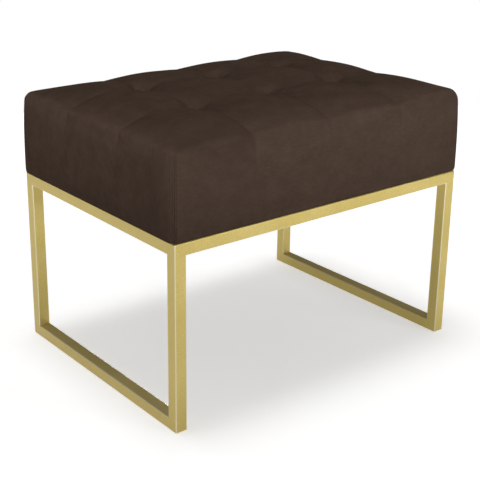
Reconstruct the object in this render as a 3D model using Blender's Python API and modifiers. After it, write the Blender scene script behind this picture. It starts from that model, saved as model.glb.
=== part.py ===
"""A pouf: a tufted, upholstered seat on a welded frame of square steel tube.

Lengths are in metres. The origin lies on the floor under the middle of the seat,
+X runs along the long side, +Y to the back and +Z up.
"""
import math

import bmesh
import bpy

# Driving sizes
frame_length = 0.640
frame_depth = 0.470
frame_height = 0.326
cushion_overhang = 0.005
cushion_rise = 0.154
contact_gap = 0.0003
layer_gap = 0.0008
cut_overrun = 0.002
weld_distance = 0.00001
round_steps = 20

# Steel tube
tube_width = 0.022
tube_wall = 0.0015
tube_edge_radius = 0.002
tube_bore_radius = 0.0006
tube_edge_steps = 4

# Corner tabs of the frame and their screws
tab_thickness = 0.003
tab_margin = 0.012
tab_chamfer = 0.010
tab_hole_radius = 0.0032
screw_shank_radius = 0.0025
screw_length = 0.036
screw_tip_length = 0.004
screw_head_radius = 0.005
screw_head_height = 0.003

# Wooden box of the seat
board_thickness = 0.018
board_height = 0.090
board_edge = 0.001
block_width = 0.040
block_height = 0.070
brace_thickness = 0.018
brace_height = 0.060
deck_thickness = 0.009

# Soft layers and cover
padding_thickness = 0.008
wadding_thickness = 0.004
cover_thickness = 0.0012
dust_cover_thickness = 0.0005
dust_cover_margin = 0.008

# Form of the upholstered seat
edge_radius = 0.020
top_draw_in = 0.004
hem_inset = 0.010
hem_rise = 0.018
side_bulge = 0.0005
seat_crown = 0.020
crown_power = 4
fold_depth = 0.006
fold_width = 0.055
fold_reach = 0.024
side_fold_depth = 0.003
corner_step = 0.004

# Tufts, their twine and their anchors
tuft_column_count = 3
tuft_row_count = 2
tuft_column_spacing = 0.164
tuft_row_spacing = 0.160
tuft_depth = 0.022
tuft_radius = 0.046
twine_radius = 0.001
knot_radius = 0.0025
channel_radius = 0.003
anchor_radius = 0.011
anchor_thickness = 0.0025
twine_steps = 10

# Sizes that follow from those above
cushion_length = frame_length + 2 * cushion_overhang
cushion_depth = frame_depth + 2 * cushion_overhang
under_padding = cover_thickness + contact_gap + wadding_thickness + layer_gap
side_build_up = under_padding + padding_thickness + contact_gap
box_length = cushion_length - 2 * side_build_up
box_depth = cushion_depth - 2 * side_build_up
hem_width = side_build_up + board_thickness
mitre_setback = contact_gap / math.sqrt(2)

# Heights of the seat's layers over the top of the steel frame
dust_cover_low = contact_gap
hem_low = dust_cover_low + dust_cover_thickness + contact_gap
box_low = hem_low + cover_thickness + contact_gap
box_top = box_low + board_height
deck_low = box_top + contact_gap
deck_top = deck_low + deck_thickness
foam_low = deck_top + contact_gap
top_edge = hem_low + cushion_rise
anchor_top = deck_low - contact_gap
knot_top = anchor_top - anchor_thickness - contact_gap

# Half sizes of the flat field of the seat's top, inside its rounded edge
field_half_length = cushion_length / 2 - edge_radius
field_half_depth = cushion_depth / 2 - edge_radius

# Centres of the corner blocks, which the frame's screws go up into
block_place_x = box_length / 2 - board_thickness - contact_gap - block_width / 2
block_place_y = box_depth / 2 - board_thickness - contact_gap - block_width / 2


# Scene, materials and common shapes
def clear_scene():
    for obj in list(bpy.data.objects):
        bpy.data.objects.remove(obj)


def collection(name):
    made = bpy.data.collections.new(name)
    bpy.context.scene.collection.children.link(made)
    return made


def guide(name, place):
    """An empty that carries a group of pieces."""
    empty = bpy.data.objects.new(name, None)
    empty.location = place
    pieces.objects.link(empty)
    return empty


def finish(name, colour, roughness, metallic=0.0):
    made = bpy.data.materials.new(name)
    made.use_nodes = True
    shader = made.node_tree.nodes["Principled BSDF"]
    shader.inputs["Base Color"].default_value = (*colour, 1)
    shader.inputs["Roughness"].default_value = roughness
    shader.inputs["Metallic"].default_value = metallic
    return made


def add(name, data, place, parent, material, turn=(0, 0, 0)):
    """Puts a mesh or curve in the scene as one piece."""
    obj = bpy.data.objects.new(name, data)
    obj.location = place
    obj.rotation_euler = turn
    obj.parent = parent
    data.materials.append(material)
    pieces.objects.link(obj)
    return obj


def mesh_from(name, shape):
    mesh = bpy.data.meshes.new(name)
    shape.to_mesh(mesh)
    shape.free()
    return mesh


def box(name, size, place, parent, material, edge=0):
    """A box about its own centre, with softened edges if edge is given."""
    shape = bmesh.new()
    bmesh.ops.create_cube(shape, size=1)
    bmesh.ops.scale(shape, vec=size, verts=shape.verts)
    obj = add(name, mesh_from(name, shape), place, parent, material)
    if edge:
        bevel = obj.modifiers.new("softened_edges", 'BEVEL')
        bevel.width = edge
        bevel.segments = 2
    return obj


def circle(radius, centre=(0, 0), steps=round_steps):
    turns = [2 * math.pi * step / steps for step in range(steps)]
    return [(centre[0] + radius * math.cos(turn), centre[1] + radius * math.sin(turn)) for turn in turns]


def rectangle(length, depth):
    signs = ((-1, -1), (1, -1), (1, 1), (-1, 1))
    return [(end * length / 2, side * depth / 2) for end, side in signs]


def rounded_square(half, radius, steps):
    """The outline of a square tube: an arc at each corner, joined by straight sides."""
    points = []
    for corner in range(4):
        middle = (corner + 0.5) * math.pi / 2
        reach = (half - radius) * math.sqrt(2)
        for step in range(steps + 1):
            turn = (corner + step / steps) * math.pi / 2
            x = reach * math.cos(middle) + radius * math.cos(turn)
            y = reach * math.sin(middle) + radius * math.sin(turn)
            points.append((x, y))
    return points


def plate(name, outlines, thickness, place, parent, material, turn=(0, 0, 0)):
    """A flat piece cut to the first outline, with the other outlines as holes."""
    curve = bpy.data.curves.new(name, 'CURVE')
    curve.dimensions = '2D'
    curve.fill_mode = 'BOTH'
    curve.extrude = thickness / 2
    for outline in outlines:
        spline = curve.splines.new('POLY')
        spline.points.add(len(outline) - 1)
        for point, (x, y) in zip(spline.points, outline):
            point.co = (x, y, 0, 1)
        spline.use_cyclic_u = True
    return add(name, curve, place, parent, material, turn)


def as_mesh(curve_object):
    """Turns a curve piece into the same piece as a closed mesh."""
    name = curve_object.name
    evaluated = curve_object.evaluated_get(bpy.context.evaluated_depsgraph_get())
    mesh = bpy.data.meshes.new_from_object(evaluated)
    shape = bmesh.new()
    shape.from_mesh(mesh)
    bmesh.ops.remove_doubles(shape, verts=shape.verts, dist=weld_distance)
    bmesh.ops.recalc_face_normals(shape, faces=shape.faces)
    shape.to_mesh(mesh)
    shape.free()
    place = curve_object.location.copy()
    turn = curve_object.rotation_euler.copy()
    parent = curve_object.parent
    bpy.data.objects.remove(curve_object)
    obj = bpy.data.objects.new(name, mesh)
    obj.location = place
    obj.rotation_euler = turn
    obj.parent = parent
    pieces.objects.link(obj)
    return obj


def turned(name, profile, steps, place, parent, material):
    """A round piece: a profile of (radius, height) points turned about Z."""
    mesh = bpy.data.meshes.new(name)
    points = [(radius, 0, height) for radius, height in profile]
    mesh.from_pydata(points, [(step, step + 1) for step in range(len(points) - 1)], [])
    obj = add(name, mesh, place, parent, material)
    screw = obj.modifiers.new("turn", 'SCREW')
    screw.steps = steps
    screw.render_steps = steps
    screw.use_merge_vertices = True
    screw.merge_threshold = weld_distance
    weld = obj.modifiers.new("close_on_axis", 'WELD')
    weld.merge_threshold = weld_distance
    return obj


def drill(obj, name, radius, low, high, place):
    """Cuts a round hole up through a piece, from low to high at a place in its parent's frame."""
    shape = bmesh.new()
    size = {"radius1": radius, "radius2": radius, "depth": high - low}
    bmesh.ops.create_cone(shape, cap_ends=True, segments=round_steps, **size)
    mesh = mesh_from(name, shape)
    cutter = bpy.data.objects.new(name, mesh)
    cutter.location = (*place, (low + high) / 2)
    cutter.parent = obj.parent
    cutter.hide_render = True
    cutter.display_type = 'WIRE'
    cutters.objects.link(cutter)
    cut = obj.modifiers.new(name, 'BOOLEAN')
    cut.operation = 'DIFFERENCE'
    cut.solver = 'EXACT'
    cut.object = cutter


# Steel frame
def square_tube(name, length, place, turn, mitred_low=True, mitred_high=True):
    """A length of tube along Z, with mitred ends that are longest on the -Y side."""
    outer = rounded_square(tube_width / 2, tube_edge_radius, tube_edge_steps)
    bore = rounded_square(tube_width / 2 - tube_wall, tube_bore_radius, 1)
    obj = as_mesh(plate(name, [outer, bore], length, place, steel_frame, gold_paint, turn))
    for vertex in obj.data.vertices:
        from_long_side = vertex.co.y + tube_width / 2
        if vertex.co.z > 0 and mitred_high:
            vertex.co.z -= from_long_side
        elif vertex.co.z < 0 and mitred_low:
            vertex.co.z += from_long_side
    return obj


def top_rails():
    """Four mitred rails in a level rectangle, which the seat rests on."""
    quarter = math.pi / 2
    from_middle_x = (frame_length - tube_width) / 2
    from_middle_y = (frame_depth - tube_width) / 2
    height = frame_height - tube_width / 2
    long_rail = frame_length - 2 * mitre_setback
    short_rail = frame_depth - 2 * mitre_setback
    square_tube("top_rail_front", long_rail, (0, -from_middle_y, height), (0, quarter, 0))
    square_tube("top_rail_right", short_rail, (from_middle_x, 0, height), (0, quarter, quarter))
    square_tube("top_rail_back", long_rail, (0, from_middle_y, height), (0, quarter, 2 * quarter))
    square_tube("top_rail_left", short_rail, (-from_middle_x, 0, height), (0, quarter, 3 * quarter))


def legs_and_floor_rails():
    """At each end, two legs under the top rails and a rail on the floor, mitred to them."""
    from_middle_x = (frame_length - tube_width) / 2
    from_middle_y = (frame_depth - tube_width) / 2
    leg_top = frame_height - tube_width - contact_gap
    leg_length = leg_top - mitre_setback
    leg_middle = (leg_top + mitre_setback) / 2
    for side, x in (("left", -from_middle_x), ("right", from_middle_x)):
        front = (x, -from_middle_y, leg_middle)
        back = (x, from_middle_y, leg_middle)
        square_tube("leg_front_" + side, leg_length, front, (0, 0, 0), mitred_high=False)
        square_tube("leg_back_" + side, leg_length, back, (0, 0, math.pi), mitred_high=False)
        floor_rail = frame_depth - 2 * mitre_setback
        square_tube("floor_rail_" + side, floor_rail, (x, 0, tube_width / 2), (math.pi / 2, 0, 0))


def corner_tabs():
    """Flat tabs welded inside the corners of the top rails, each with a screw up into the seat."""
    inner_x = frame_length / 2 - tube_width - contact_gap
    inner_y = frame_depth / 2 - tube_width - contact_gap
    low = frame_height - tube_edge_radius - tab_thickness
    shank_low = low - contact_gap - frame_height
    profile = [
        (0, shank_low + screw_length),
        (screw_shank_radius, shank_low + screw_length - screw_tip_length),
        (screw_shank_radius, shank_low),
        (screw_head_radius, shank_low),
        (screw_head_radius, shank_low - screw_head_height),
        (0, shank_low - screw_head_height),
    ]
    hole_x = inner_x - block_place_x
    hole_y = inner_y - block_place_y
    length = hole_x + tab_margin
    depth = hole_y + tab_margin
    free_corner = [(length, depth - tab_chamfer), (length - tab_chamfer, depth)]
    outline = [(0, 0), (length, 0), *free_corner, (0, depth)]
    for end, side, name in corners:
        placed = [(-end * x, -side * y) for x, y in outline]
        hole = circle(tab_hole_radius, (-end * hole_x, -side * hole_y))
        place = (end * inner_x, side * inner_y, low + tab_thickness / 2)
        plate("corner_tab_" + name, [placed, hole], tab_thickness, place, steel_frame, gold_paint)
        screw_place = (end * block_place_x, side * block_place_y, 0)
        turned("seat_screw_" + name, profile, round_steps, screw_place, seat, zinc)


# Wooden box
def boards():
    height = box_low + board_height / 2
    from_middle_y = (box_depth - board_thickness) / 2
    from_middle_x = (box_length - board_thickness) / 2
    end_length = box_depth - 2 * (board_thickness + contact_gap)
    long_board = (box_length, board_thickness, board_height)
    end_board = (board_thickness, end_length, board_height)
    box("board_front", long_board, (0, -from_middle_y, height), seat, pine, board_edge)
    box("board_back", long_board, (0, from_middle_y, height), seat, pine, board_edge)
    box("board_left", end_board, (-from_middle_x, 0, height), seat, pine, board_edge)
    box("board_right", end_board, (from_middle_x, 0, height), seat, pine, board_edge)


def corner_blocks():
    """Blocks in the corners of the box, bored from below for the frame's screws."""
    screw_top = screw_length - tube_edge_radius - tab_thickness - contact_gap
    size = (block_width, block_width, block_height)
    middle = box_low + block_height / 2
    bore = screw_shank_radius + contact_gap
    for end, side, name in corners:
        x = end * block_place_x
        y = side * block_place_y
        block = box("corner_block_" + name, size, (x, y, middle), seat, pine, board_edge)
        drill(block, "pilot_hole_" + name, bore, box_low - cut_overrun, screw_top + contact_gap, (x, y))


def braces():
    """Two slats from front to back, midway between the columns of tufts."""
    length = box_depth - 2 * (board_thickness + contact_gap)
    height = box_top - brace_height / 2
    for end, name in ((-1, "left"), (1, "right")):
        place = (end * tuft_column_spacing / 2, 0, height)
        box("cross_brace_" + name, (brace_thickness, length, brace_height), place, seat, pine, board_edge)


def deck():
    """The plywood deck on the box, with a hole under each tuft."""
    holes = [circle(channel_radius, place) for place in tuft_places()]
    outlines = [rectangle(box_length, box_depth), *holes]
    plate("plywood_deck", outlines, deck_thickness, (0, 0, deck_low + deck_thickness / 2), seat, plywood)


# Tufts
def tuft_lines(count, spacing):
    """Places of the tufts along one direction, about the middle."""
    return [(number - (count - 1) / 2) * spacing for number in range(count)]


def tuft_places():
    columns = tuft_lines(tuft_column_count, tuft_column_spacing)
    rows = tuft_lines(tuft_row_count, tuft_row_spacing)
    return [(x, y) for y in rows for x in columns]


def twines_and_anchors():
    """A knotted twine down from each tuft, through the foam and the deck to a washer under it."""
    knot_middle = knot_top - knot_radius
    knot_start = math.asin(twine_radius / knot_radius)
    turns = [knot_start + (math.pi - knot_start) * step / twine_steps for step in range(twine_steps)]
    knot = [(knot_radius * math.sin(turn), knot_middle + knot_radius * math.cos(turn)) for turn in turns]
    knot.append((0, knot_middle - knot_radius))
    ring = [circle(anchor_radius), circle(twine_radius + contact_gap)]
    anchor_middle = anchor_top - anchor_thickness / 2
    for number, (x, y) in enumerate(tuft_places(), 1):
        top = top_height(x, y) - cover_thickness - contact_gap
        profile = [(0, top), (twine_radius, top), *knot]
        turned("tuft_twine_%d" % number, profile, twine_steps, (x, y, 0), seat, twine)
        plate("tuft_anchor_%d" % number, ring, anchor_thickness, (x, y, anchor_middle), seat, nylon)


# Form of the seat
def fold(distance):
    """How deep a fold is at a distance from its line, from 1 on the line to 0."""
    return max(0, 1 - abs(distance) / fold_width) ** 2


def fold_along(place, lines):
    return max(fold(place - line) for line in lines)


def top_height(x, y):
    """Height of the seat's top: its crown, less the folds between tufts and the tufts."""
    columns = tuft_lines(tuft_column_count, tuft_column_spacing)
    rows = tuft_lines(tuft_row_count, tuft_row_spacing)
    share_x = abs(x) / field_half_length
    share_y = abs(y) / field_half_depth
    crown = seat_crown * (1 - share_x ** crown_power) * (1 - share_y ** crown_power)
    folds = fold_depth * max(fold_along(x, columns), fold_along(y, rows))
    nearest = min(math.hypot(x - tuft_x, y - tuft_y) for tuft_x, tuft_y in tuft_places())
    pit = tuft_depth * max(0, 1 - nearest / tuft_radius) ** 2
    return top_edge + crown - folds - pit


def surface_lines(tufts, field_half):
    """Where the lines of the surface cross one side of the top."""
    stops = [-field_half, *tufts, field_half]
    lines = list(stops)
    lines += [(low + high) / 2 for low, high in zip(stops, stops[1:])]
    lines += [tuft + side * fold_reach for tuft in tufts for side in (-1, 1)]
    lines += [side * (field_half - corner_step) for side in (-1, 1)]
    return sorted(lines)


def side_rows():
    """The rows of the side, top to bottom, as (inset from the face, height)."""
    rows = []
    eighth = math.pi / 4
    for turn in (eighth, 2 * eighth):
        inset = edge_radius - (edge_radius - top_draw_in) * math.sin(turn)
        rows.append((inset, top_edge - edge_radius * (1 - math.cos(turn))))
    rows.append((-side_bulge, foam_low))
    rows.append((0, hem_low + hem_rise))
    rows.append((hem_inset * (1 - math.cos(eighth)), hem_low + hem_rise * (1 - math.sin(eighth))))
    rows.append((hem_inset, hem_low))
    rows.append((hem_width, hem_low))
    return rows


def side_point(x, y, inset, height):
    """The point of a side row that lies out from the point (x, y) of the field's edge."""
    out = edge_radius - inset
    if out < 0:
        return (x * (1 + out / field_half_length), y * (1 + out / field_half_depth), height)
    at_end = math.isclose(abs(x), field_half_length, abs_tol=weld_distance)
    at_side = math.isclose(abs(y), field_half_depth, abs_tol=weld_distance)
    if at_end and at_side:
        step = out / math.sqrt(2)
        return (x + math.copysign(step, x), y + math.copysign(step, y), height)
    if at_end:
        depth = fold_along(y, tuft_lines(tuft_row_count, tuft_row_spacing))
    else:
        depth = fold_along(x, tuft_lines(tuft_column_count, tuft_column_spacing))
    rise_share = max(0, height - hem_low) / cushion_rise
    out -= side_fold_depth * depth * rise_share ** 2
    if height > top_edge - edge_radius:
        height -= fold_depth * depth * inset / edge_radius
    if at_end:
        return (x + math.copysign(out, x), y, height)
    return (x, y + math.copysign(out, y), height)


def seat_surface(depth, last_row):
    """The seat's outer form moved inwards by depth, down to one of the rows of its side."""
    shape = bmesh.new()
    lines_x = surface_lines(tuft_lines(tuft_column_count, tuft_column_spacing), field_half_length)
    lines_y = surface_lines(tuft_lines(tuft_row_count, tuft_row_spacing), field_half_depth)
    spans_x = len(lines_x) - 1
    spans_y = len(lines_y) - 1
    bmesh.ops.create_grid(shape, x_segments=spans_x, y_segments=spans_y, size=1)
    for vertex in shape.verts:
        x = lines_x[round((vertex.co.x + 1) / 2 * spans_x)]
        y = lines_y[round((vertex.co.y + 1) / 2 * spans_y)]
        vertex.co = (x, y, top_height(x, y))
    rim = {vertex: tuple(vertex.co.xy) for vertex in shape.verts if vertex.is_boundary}
    below_last = []
    for row, (inset, height) in enumerate(side_rows(), 1):
        edges = [edge for edge in shape.edges if edge.is_boundary]
        made = bmesh.ops.extrude_edge_only(shape, edges=edges)["geom"]
        new_rim = {}
        for vertex in [item for item in made if isinstance(item, bmesh.types.BMVert)]:
            neighbours = [edge.other_vert(vertex) for edge in vertex.link_edges]
            above = next(neighbour for neighbour in neighbours if neighbour in rim)
            new_rim[vertex] = rim[above]
            vertex.co = side_point(*rim[above], inset, height)
        rim = new_rim
        if row > last_row:
            below_last += list(rim)
    bmesh.ops.triangulate(shape, faces=shape.faces, quad_method='SHORT_EDGE')
    bmesh.ops.recalc_face_normals(shape, faces=shape.faces)
    shape.normal_update()
    moved = {vertex: vertex.co - vertex.normal * depth for vertex in shape.verts}
    for vertex, place in moved.items():
        vertex.co = place
    bmesh.ops.delete(shape, geom=below_last, context='VERTS')
    return shape


def shell(name, shape, thickness, material):
    """A layer of even thickness inside an open surface."""
    obj = add(name, mesh_from(name, shape), (0, 0, 0), seat, material)
    wall = obj.modifiers.new("wall", 'SOLIDIFY')
    wall.thickness = thickness
    wall.offset = -1
    return obj


def foam_block():
    """The foam on the deck, with a channel for the twine of each tuft."""
    foam_row = 3
    shape = seat_surface(under_padding, foam_row)
    rim_edges = [edge for edge in shape.edges if edge.is_boundary]
    for vertex in {vertex for edge in rim_edges for vertex in edge.verts}:
        vertex.co.z = foam_low
    bmesh.ops.edgeloop_fill(shape, edges=rim_edges)
    bmesh.ops.recalc_face_normals(shape, faces=shape.faces)
    block = add("foam_block", mesh_from("foam_block", shape), (0, 0, 0), seat, foam)
    drill_tufts(block, "foam_channel", foam_low)


def drill_tufts(obj, name, low):
    top = top_edge + seat_crown
    for number, place in enumerate(tuft_places(), 1):
        drill(obj, "%s_%d" % (name, number), channel_radius, low - cut_overrun, top + cut_overrun, place)


def wadding_layer():
    """The fibre wrap over the foam and the padded sides, open at the bottom."""
    side_bottom_row = 4
    surface = seat_surface(cover_thickness + contact_gap, side_bottom_row)
    layer = shell("fibre_wadding", surface, wadding_thickness, fibre)
    drill_tufts(layer, "wadding_hole", foam_low)


def seat_cover():
    """The cover: top and sides in one, tucked under the box and turned in."""
    shell("seat_cover", seat_surface(0, len(side_rows())), cover_thickness, suede)


def side_padding():
    """A strip of foam on each side of the box, ending where the seat's corners round off."""
    low = hem_low + hem_rise
    height = deck_top - low
    middle = low + height / 2
    from_middle_x = cushion_length / 2 - under_padding - padding_thickness / 2
    from_middle_y = cushion_depth / 2 - under_padding - padding_thickness / 2
    long_strip = (2 * (field_half_length - corner_step), padding_thickness, height)
    end_strip = (padding_thickness, 2 * (field_half_depth - corner_step), height)
    box("side_padding_front", long_strip, (0, -from_middle_y, middle), seat, foam)
    box("side_padding_back", long_strip, (0, from_middle_y, middle), seat, foam)
    box("side_padding_left", end_strip, (-from_middle_x, 0, middle), seat, foam)
    box("side_padding_right", end_strip, (from_middle_x, 0, middle), seat, foam)


def dust_cover():
    """The cloth that closes the underside, held between the box and the frame."""
    edge = rectangle(box_length - 2 * dust_cover_margin, box_depth - 2 * dust_cover_margin)
    bore = screw_shank_radius + contact_gap
    holes = [circle(bore, (end * block_place_x, side * block_place_y)) for end, side, name in corners]
    place = (0, 0, dust_cover_low + dust_cover_thickness / 2)
    plate("dust_cover", [edge, *holes], dust_cover_thickness, place, seat, black_cloth)


clear_scene()
pieces = collection("pouf")
cutters = collection("pouf_cutters")
steel_frame = guide("steel_frame", (0, 0, 0))
seat = guide("seat", (0, 0, frame_height))
corners = ((-1, -1, "front_left"), (1, -1, "front_right"), (-1, 1, "back_left"), (1, 1, "back_right"))

gold_paint = finish("gold_paint", (0.55, 0.44, 0.20), 0.38, 0.6)
zinc = finish("zinc", (0.62, 0.62, 0.60), 0.35, 1.0)
pine = finish("pine", (0.63, 0.45, 0.26), 0.7)
plywood = finish("plywood", (0.57, 0.41, 0.24), 0.7)
foam = finish("foam", (0.80, 0.76, 0.62), 0.95)
fibre = finish("fibre", (0.86, 0.86, 0.85), 1.0)
suede = finish("suede", (0.055, 0.038, 0.030), 0.9)
black_cloth = finish("black_cloth", (0.012, 0.012, 0.012), 0.95)
twine = finish("twine", (0.70, 0.66, 0.55), 0.8)
nylon = finish("nylon", (0.75, 0.74, 0.70), 0.5)

top_rails()
legs_and_floor_rails()
corner_tabs()
boards()
corner_blocks()
braces()
deck()
side_padding()
foam_block()
wadding_layer()
seat_cover()
twines_and_anchors()
dust_cover()
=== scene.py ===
import math
from contextlib import contextmanager

import bmesh
import bpy
import numpy as np
from mathutils import Matrix, Vector


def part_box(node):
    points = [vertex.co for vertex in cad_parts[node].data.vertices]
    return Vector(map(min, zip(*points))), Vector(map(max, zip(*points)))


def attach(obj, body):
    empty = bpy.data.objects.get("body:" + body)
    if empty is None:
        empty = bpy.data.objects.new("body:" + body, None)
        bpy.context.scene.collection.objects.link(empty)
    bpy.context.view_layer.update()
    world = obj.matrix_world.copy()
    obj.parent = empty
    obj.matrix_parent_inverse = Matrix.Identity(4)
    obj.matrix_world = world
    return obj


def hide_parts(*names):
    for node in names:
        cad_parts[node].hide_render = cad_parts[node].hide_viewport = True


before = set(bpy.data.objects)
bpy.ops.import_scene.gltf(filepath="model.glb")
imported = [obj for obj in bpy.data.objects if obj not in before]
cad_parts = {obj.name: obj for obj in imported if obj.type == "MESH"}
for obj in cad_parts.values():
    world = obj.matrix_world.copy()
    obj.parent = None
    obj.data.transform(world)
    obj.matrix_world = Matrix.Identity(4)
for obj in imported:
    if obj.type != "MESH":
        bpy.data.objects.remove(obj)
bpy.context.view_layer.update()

# Painted steel frame
# Ten lengths of 22 mm square tube: four top rails, four legs and a floor rail at each end. They are
# mitred or butted, welded all round, ground flush outside, and sprayed together in satin gold.
tube_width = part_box("top_rail_front")[1].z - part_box("top_rail_front")[0].z
tube_wall = 0.0015
ground_edge_radius = 0.002
edge_segments = 4
cut_overrun = 0.05
on_plane = 0.00002
frame_low = Vector((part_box("top_rail_left")[0].x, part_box("top_rail_front")[0].y, 0))
frame_high = Vector((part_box("top_rail_right")[1].x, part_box("top_rail_back")[1].y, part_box("top_rail_back")[1].z))
inner_low = frame_low + Vector((tube_width, tube_width, tube_width))
inner_high = frame_high - Vector((tube_width, tube_width, tube_width))
leg_top = inner_high.z


def primitive(add, name, **settings):
    """One of Blender's plain forms, as a new object and the only one selected."""
    bpy.ops.object.select_all(action='DESELECT')
    add(**settings)
    bpy.context.object.name = name
    return bpy.context.object


def block(name, low, high):
    """A plain block between two corners, with its place in its mesh."""
    low, high = Vector(low), Vector(high)
    made = primitive(bpy.ops.mesh.primitive_cube_add, name, size=1, location=(low + high) / 2)
    made.scale = high - low
    bpy.ops.object.transform_apply()
    return made


def only(piece):
    """Makes a piece the active object and the only one selected."""
    bpy.ops.object.select_all(action='DESELECT')
    piece.select_set(True)
    bpy.context.view_layer.objects.active = piece


def set_all(item, settings):
    """Gives an item each of its settings."""
    for key, value in settings.items():
        setattr(item, key, value)


def modify(piece, kind, **settings):
    """Adds a modifier to a piece and applies it."""
    only(piece)
    modifier = piece.modifiers.new(kind.lower(), kind)
    set_all(modifier, settings)
    bpy.ops.object.modifier_apply(modifier=modifier.name)


@contextmanager
def editing(piece):
    """Edit mode on one piece, all of which is selected at the start."""
    only(piece)
    bpy.ops.object.mode_set(mode='EDIT')
    bpy.ops.mesh.select_all(action='SELECT')
    yield
    bpy.ops.object.mode_set(mode='OBJECT')


def cut_away(piece, low, high):
    """Cuts a block between two corners out of a piece."""
    cutter = block("cutter", low, high)
    modify(piece, 'BOOLEAN', object=cutter, operation='DIFFERENCE', solver='EXACT')
    bpy.data.objects.remove(cutter)


def pick(piece, kind, test):
    """In edit mode, selects the vertices, edges or faces of a piece that pass a test, and nothing else."""
    bpy.ops.mesh.select_mode(type=kind)
    bpy.ops.mesh.select_all(action='DESELECT')
    shape = bmesh.from_edit_mesh(piece.data)
    shape.normal_update()
    items = {'VERT': shape.verts, 'EDGE': shape.edges, 'FACE': shape.faces}[kind]
    for item in items:
        if test(item):
            item.select_set(True)
    shape.select_flush_mode()
    bmesh.update_edit_mesh(piece.data)


def slice_off(piece, point, away):
    """Cuts a closed piece along a plane, drops the side that the direction points to, and closes the cut."""
    with editing(piece):
        bpy.ops.mesh.bisect(plane_co=point, plane_no=away, clear_outer=True, use_fill=True, threshold=on_plane)
        bpy.ops.mesh.select_all(action='SELECT')
        bpy.ops.mesh.quads_convert_to_tris()


def new_object(name, data):
    """A new object in the scene, with a mesh, a lamp or a camera as its data."""
    made = bpy.data.objects.new(name, data)
    bpy.context.scene.collection.objects.link(made)
    return made


def smooth(piece, degrees=30):
    """Smooth shading that keeps edges sharper than an angle, with flat faces left truly flat."""
    only(piece)
    bpy.ops.object.shade_smooth_by_angle(angle=math.radians(degrees))
    modify(piece, 'WEIGHTED_NORMAL', keep_sharp=True, weight=100)


def finish_piece(piece, material, degrees=30):
    """Gives a new piece its material and shading, and lets it ride on the pouf."""
    piece.data.materials.clear()
    piece.data.materials.append(material)
    smooth(piece, degrees)
    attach(piece, "root")


def vertex_places(piece):
    """The places of a piece's vertices, as rows."""
    return np.array([tuple(vertex.co) for vertex in piece.data.vertices])


welded = block("welded_frame", frame_low, frame_high)
over = Vector((cut_overrun, cut_overrun, cut_overrun))
far_low, far_high = frame_low - over, frame_high + over
cut_away(welded, (inner_low.x, inner_low.y, far_low.z), (inner_high.x, inner_high.y, far_high.z))
cut_away(welded, (inner_low.x, far_low.y, far_low.z), (inner_high.x, far_high.y, leg_top))
cut_away(welded, (far_low.x, inner_low.y, inner_low.z), (far_high.x, inner_high.y, leg_top))


def ground_round(edge):
    """The outer edges, and the inside corner that a leg makes with a long rail."""
    if edge.calc_face_angle(0) < 1:
        return False
    along_y = abs((edge.verts[0].co - edge.verts[1].co).normalized().y) > 0.9
    under_rail = abs(edge.verts[0].co.z - leg_top) < on_plane and along_y
    return edge.is_convex or under_rail


with editing(welded):
    pick(welded, 'EDGE', ground_round)
    bpy.ops.mesh.bevel(offset=ground_edge_radius, segments=edge_segments)
    bpy.ops.mesh.select_all(action='SELECT')
    bpy.ops.mesh.quads_convert_to_tris()

middle_x = (frame_low.x + frame_high.x) / 2
middle_y = (frame_low.y + frame_high.y) / 2
middle_height = leg_top / 2
ends = ((-1, "left"), (1, "right"))
sides = ((-1, "front"), (1, "back"))
corners = {}
corner_names = {}
for side, side_name in sides:
    for end, end_name in ends:
        corner = (frame_low.x if end < 0 else frame_high.x, frame_low.y if side < 0 else frame_high.y)
        corners[(end, side)] = Vector((*corner, 0))
        corner_names[(end, side)] = side_name + "_" + end_name


def part_of(cell, axis, place, side):
    """The part of a block between two corners that lies on one side of a place along an axis."""
    low, high = cell[0].copy(), cell[1].copy()
    (high if side < 0 else low)[axis] = place
    return low, high


# Each tube is the part of the welded frame inside a block of its own, which is sliced off along the mitres.
outside = far_low, far_high
cells = {}
for side, side_name in sides:
    mitres = [(corners[(end, side)], (end, -side, 0)) for end in (-1, 1)]
    cells["top_rail_" + side_name] = part_of(part_of(outside, 2, leg_top, 1), 1, middle_y, side), mitres
for end, end_name in ends:
    half = part_of(outside, 0, middle_x, end)
    mitres = [(corners[(end, side)], (-end, side, 0)) for side in (-1, 1)]
    cells["top_rail_" + end_name] = part_of(half, 2, leg_top, 1), mitres
    mitres = [(corners[(end, side)], (0, side, 1)) for side in (-1, 1)]
    cells["floor_rail_" + end_name] = part_of(half, 2, middle_height, -1), mitres
    half = part_of(half, 2, leg_top, -1)
    for side in (-1, 1):
        foot = (corners[(end, side)], (0, -side, -1))
        cells["leg_" + corner_names[(end, side)]] = part_of(half, 1, middle_y, side), [foot]

tubes = []
bore_wall = Vector((tube_wall, tube_wall, tube_wall))
for node, (cell_corners, mitres) in cells.items():
    cell = block("cell", *cell_corners)
    for point, away in mitres:
        slice_off(cell, point, away)
    tube = new_object(node + "_painted", welded.data.copy())
    modify(tube, 'BOOLEAN', object=cell, operation='INTERSECT', solver='EXACT')
    bpy.data.objects.remove(cell)
    bore_low, bore_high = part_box(node)[0] + bore_wall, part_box(node)[1] - bore_wall
    long_way = max(range(3), key=lambda axis: (bore_high - bore_low)[axis])
    bore_low[long_way] -= cut_overrun
    bore_high[long_way] += cut_overrun
    cut_away(tube, bore_low, bore_high)
    with editing(tube):
        bpy.ops.mesh.remove_doubles(threshold=on_plane)
        bpy.ops.mesh.dissolve_degenerate(threshold=on_plane)
    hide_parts(node)
    tubes.append(tube)
bpy.data.objects.remove(welded)


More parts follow.
